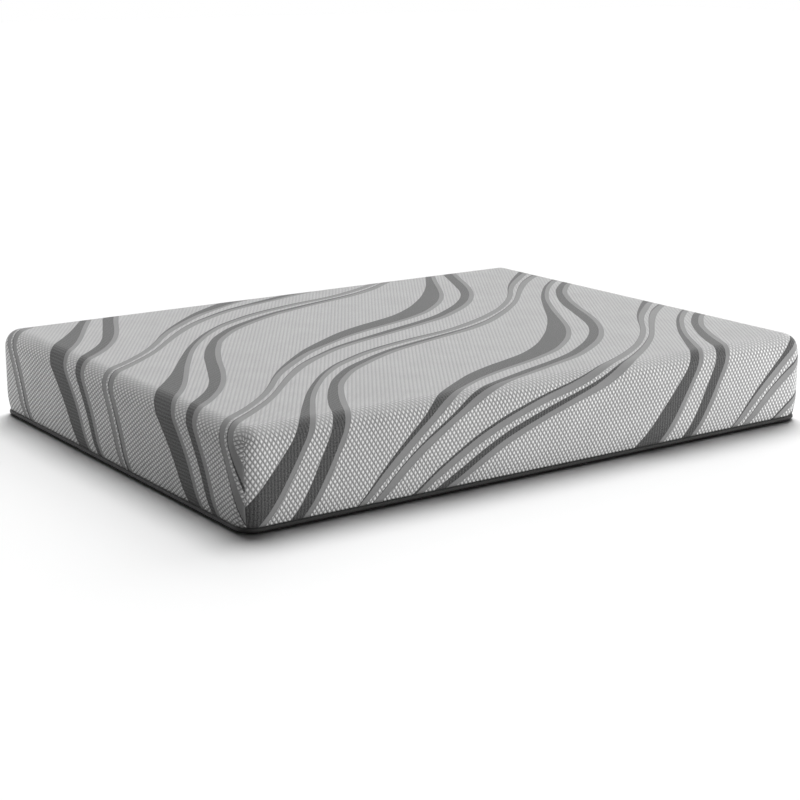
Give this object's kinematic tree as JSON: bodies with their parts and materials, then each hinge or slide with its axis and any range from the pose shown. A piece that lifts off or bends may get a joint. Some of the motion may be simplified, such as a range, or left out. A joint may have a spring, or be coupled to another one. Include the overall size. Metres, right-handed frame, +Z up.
{
  "type": "memory foam mattress",
  "caption": "Queen memory foam mattress: layered foam block in a zipped stretch-knit cover with a rounded top edge and a dark piped bottom edge.",
  "frame": {"origin": "centre of the bottom of the mattress, on the floor", "axes": "+X along the length, +Y across the width, +Z up out of the sleeping surface"},
  "size_m": [2.032, 1.524, 0.276],
  "materials": {
    "jacquard_knit": "matte",
    "seam_thread": "matte",
    "base_fabric": "matte",
    "piping_fabric": "matte",
    "filler_cord": "matte",
    "barrier_knit": "matte",
    "gel_foam": "matte",
    "transition_foam": "matte",
    "core_foam": "matte",
    "zipper_tape": "matte",
    "zipper_coil": "satin",
    "zipper_metal": "satin"
  },
  "bodies": {
    "mattress": {"knit_cover": "jacquard_knit", "base_panel": "base_fabric", "piping_tape": "piping_fabric", "piping_cord": "filler_cord", "fire_sock": "barrier_knit", "comfort_foam": "gel_foam", "transition_foam": "transition_foam", "support_core": "core_foam", "zipper_tape_outer": "zipper_tape", "zipper_tape_inner": "zipper_tape", "zipper_coil_outer": "zipper_coil", "zipper_coil_inner": "zipper_coil", "zipper_top_stop": "zipper_metal", "zipper_bottom_stop": "zipper_metal", "corner_seam_foot_right": "seam_thread", "corner_seam_head_right": "seam_thread", "corner_seam_head_left": "seam_thread", "corner_seam_foot_left": "seam_thread"},
    "slider": {"zipper_slider": "zipper_metal"},
    "pull": {"zipper_pull": "zipper_metal"}
  },
  "joints": [
    {"name": "zipper_slide", "type": "slide", "parent": "mattress", "child": "slider", "axis": [1, 0, 0], "range_m": [0, 1.84]},
    {"name": "pull_hinge", "type": "hinge", "parent": "slider", "child": "pull", "pos_m": [-0.9047, 0.73619, 0.00565], "axis": [0, 0.9459, 0.3243], "range_deg": [0, 178]}
  ]
}
